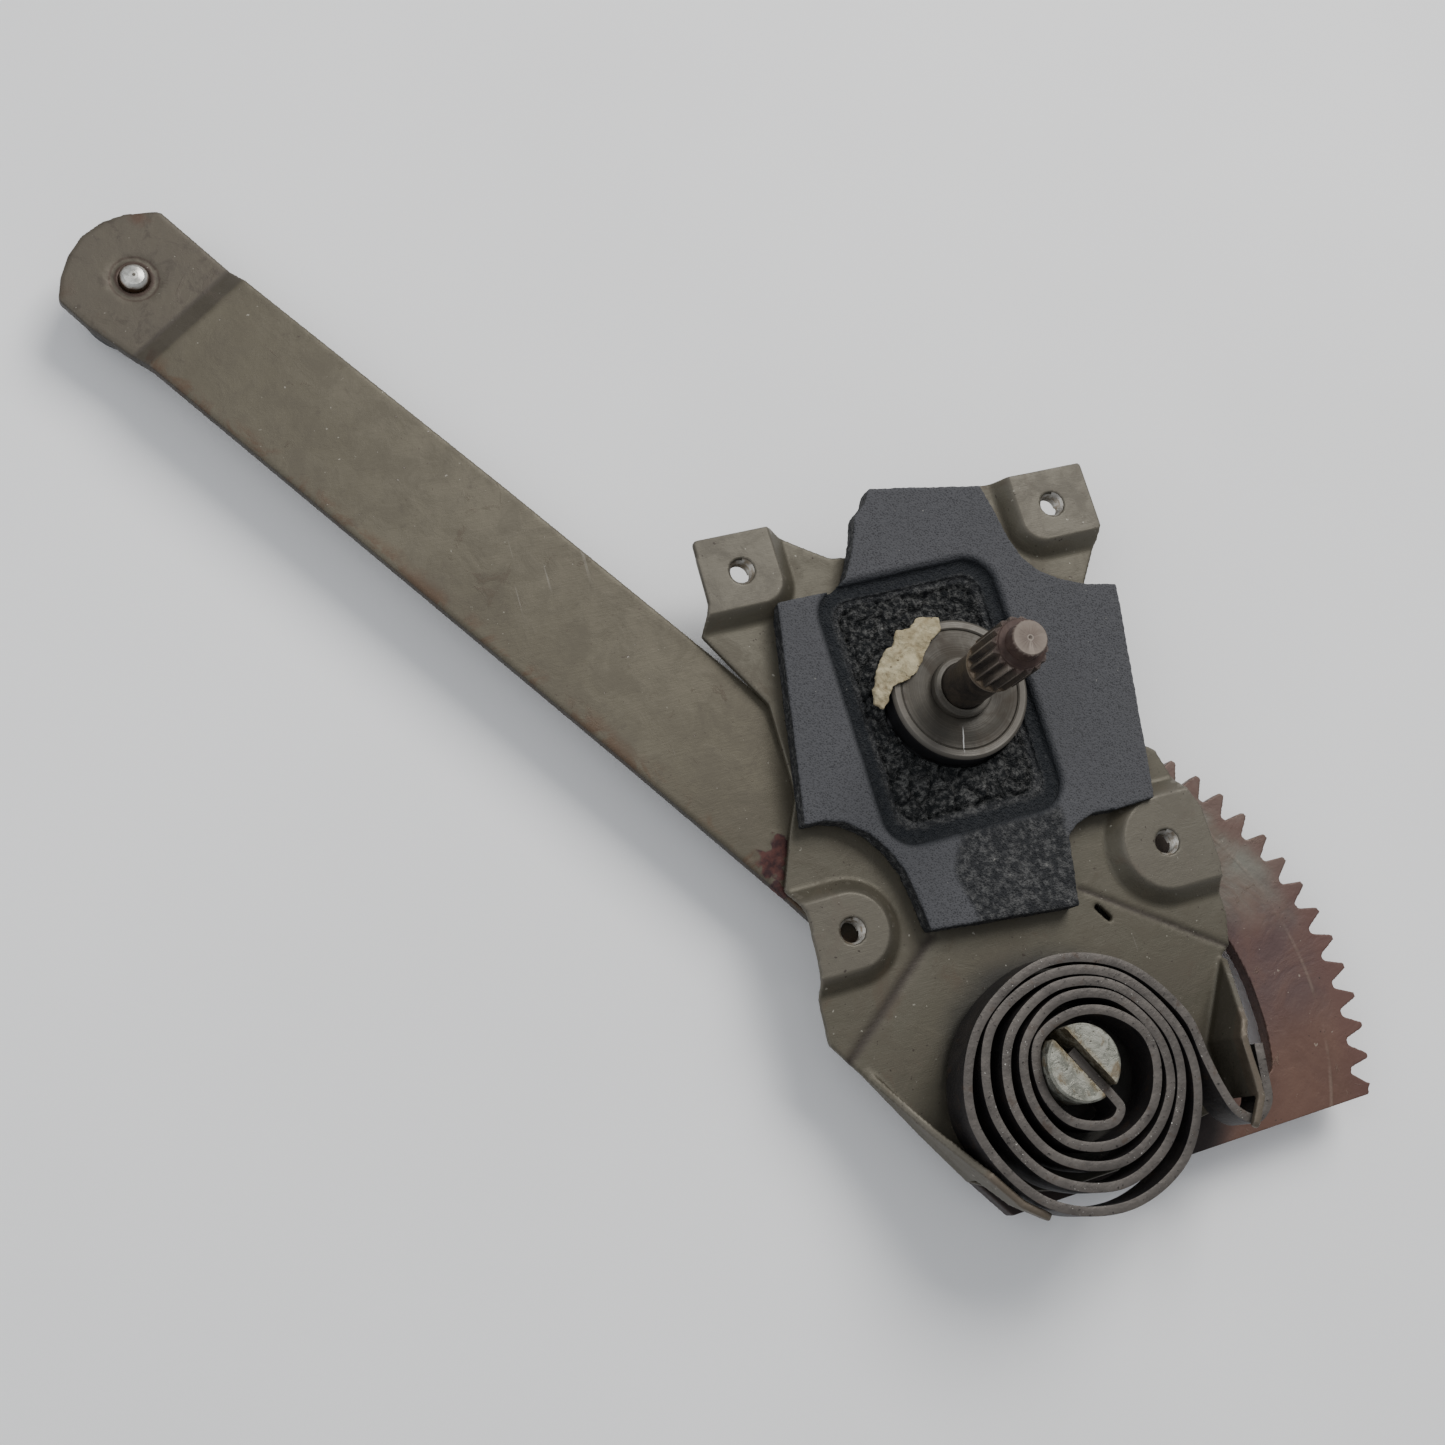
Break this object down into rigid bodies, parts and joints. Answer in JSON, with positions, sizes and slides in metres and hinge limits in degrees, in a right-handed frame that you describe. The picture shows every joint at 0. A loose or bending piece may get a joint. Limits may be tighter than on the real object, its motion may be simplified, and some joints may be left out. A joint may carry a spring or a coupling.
{
  "type": "door window regulator",
  "caption": "Single-arm door window regulator: pressed base plate, splined crank spindle in a brake drum, toothed sector, lift arm with roller, and a spiral balance spring.",
  "frame": {"origin": "middle of the four tapped mounting pads, on the plane of the pads' faces", "axes": "+Z out of the pads towards the door's inner panel and the crank handle, +Y from the spring towards the spindle, +X to the right seen from the handle side; lift arm points up and to the left"},
  "size_m": [0.2522, 0.2736, 0.0677],
  "materials": {
    "pressed_steel": "dull, rolled, brown stained",
    "dark_steel": "oiled, near black",
    "foam": "open cell foam, charcoal",
    "drum_steel": "dull, stained",
    "rivet_steel": "dull",
    "bronze": "sintered, oiled",
    "spring_steel": "dark temper scale",
    "spindle_steel": "dark, rust toned end",
    "sector_steel": "reddish brown rust film",
    "pin_zinc": "white zinc oxide bloom",
    "roller_plastic": "black nylon"
  },
  "bodies": {
    "base": {"base_plate": "pressed_steel", "pivot_bush": "dark_steel", "foam_seal": "foam", "brake_drum": "drum_steel", "drum_cover": "drum_steel", "spindle_bush": "dark_steel", "drum_rivets": "rivet_steel", "pinion_bracket": "pressed_steel", "bracket_bush": "bronze", "bracket_rivets": "rivet_steel", "counterbalance_spring": "spring_steel"},
    "crank": {"crank_spindle": "spindle_steel", "driver_cam": "dark_steel", "clutch_spring": "spring_steel", "pinion": "dark_steel", "pinion_clip": "rivet_steel"},
    "arm": {"sector_gear": "sector_steel", "lift_arm": "pressed_steel", "arm_rivets": "rivet_steel", "pivot_pin": "pin_zinc", "pivot_clip": "dark_steel", "pivot_washer": "rivet_steel", "roller_stud": "pin_zinc"},
    "roller": {"roller": "roller_plastic", "roller_sleeve": "dark_steel"}
  },
  "joints": [
    {"name": "arm_swing", "type": "hinge", "parent": "base", "child": "arm", "pos_m": [-0.0031, -0.08439, 0], "axis": [0, 0, 1], "range_deg": [-1, 96], "deforming": ["counterbalance_spring"]},
    {"name": "crank_turn", "type": "hinge", "parent": "base", "child": "crank", "pos_m": [0, 0.0033, 0], "axis": [0, 0, 1], "continuous": true},
    {"name": "roller_spin", "type": "hinge", "parent": "arm", "child": "roller", "pos_m": [-0.15512, 0.14056, -0.0162], "axis": [0, 0, 1], "continuous": true}
  ],
  "couplings": [
    {"joint": "crank_turn", "follows": "arm_swing", "ratio": -12}
  ]
}
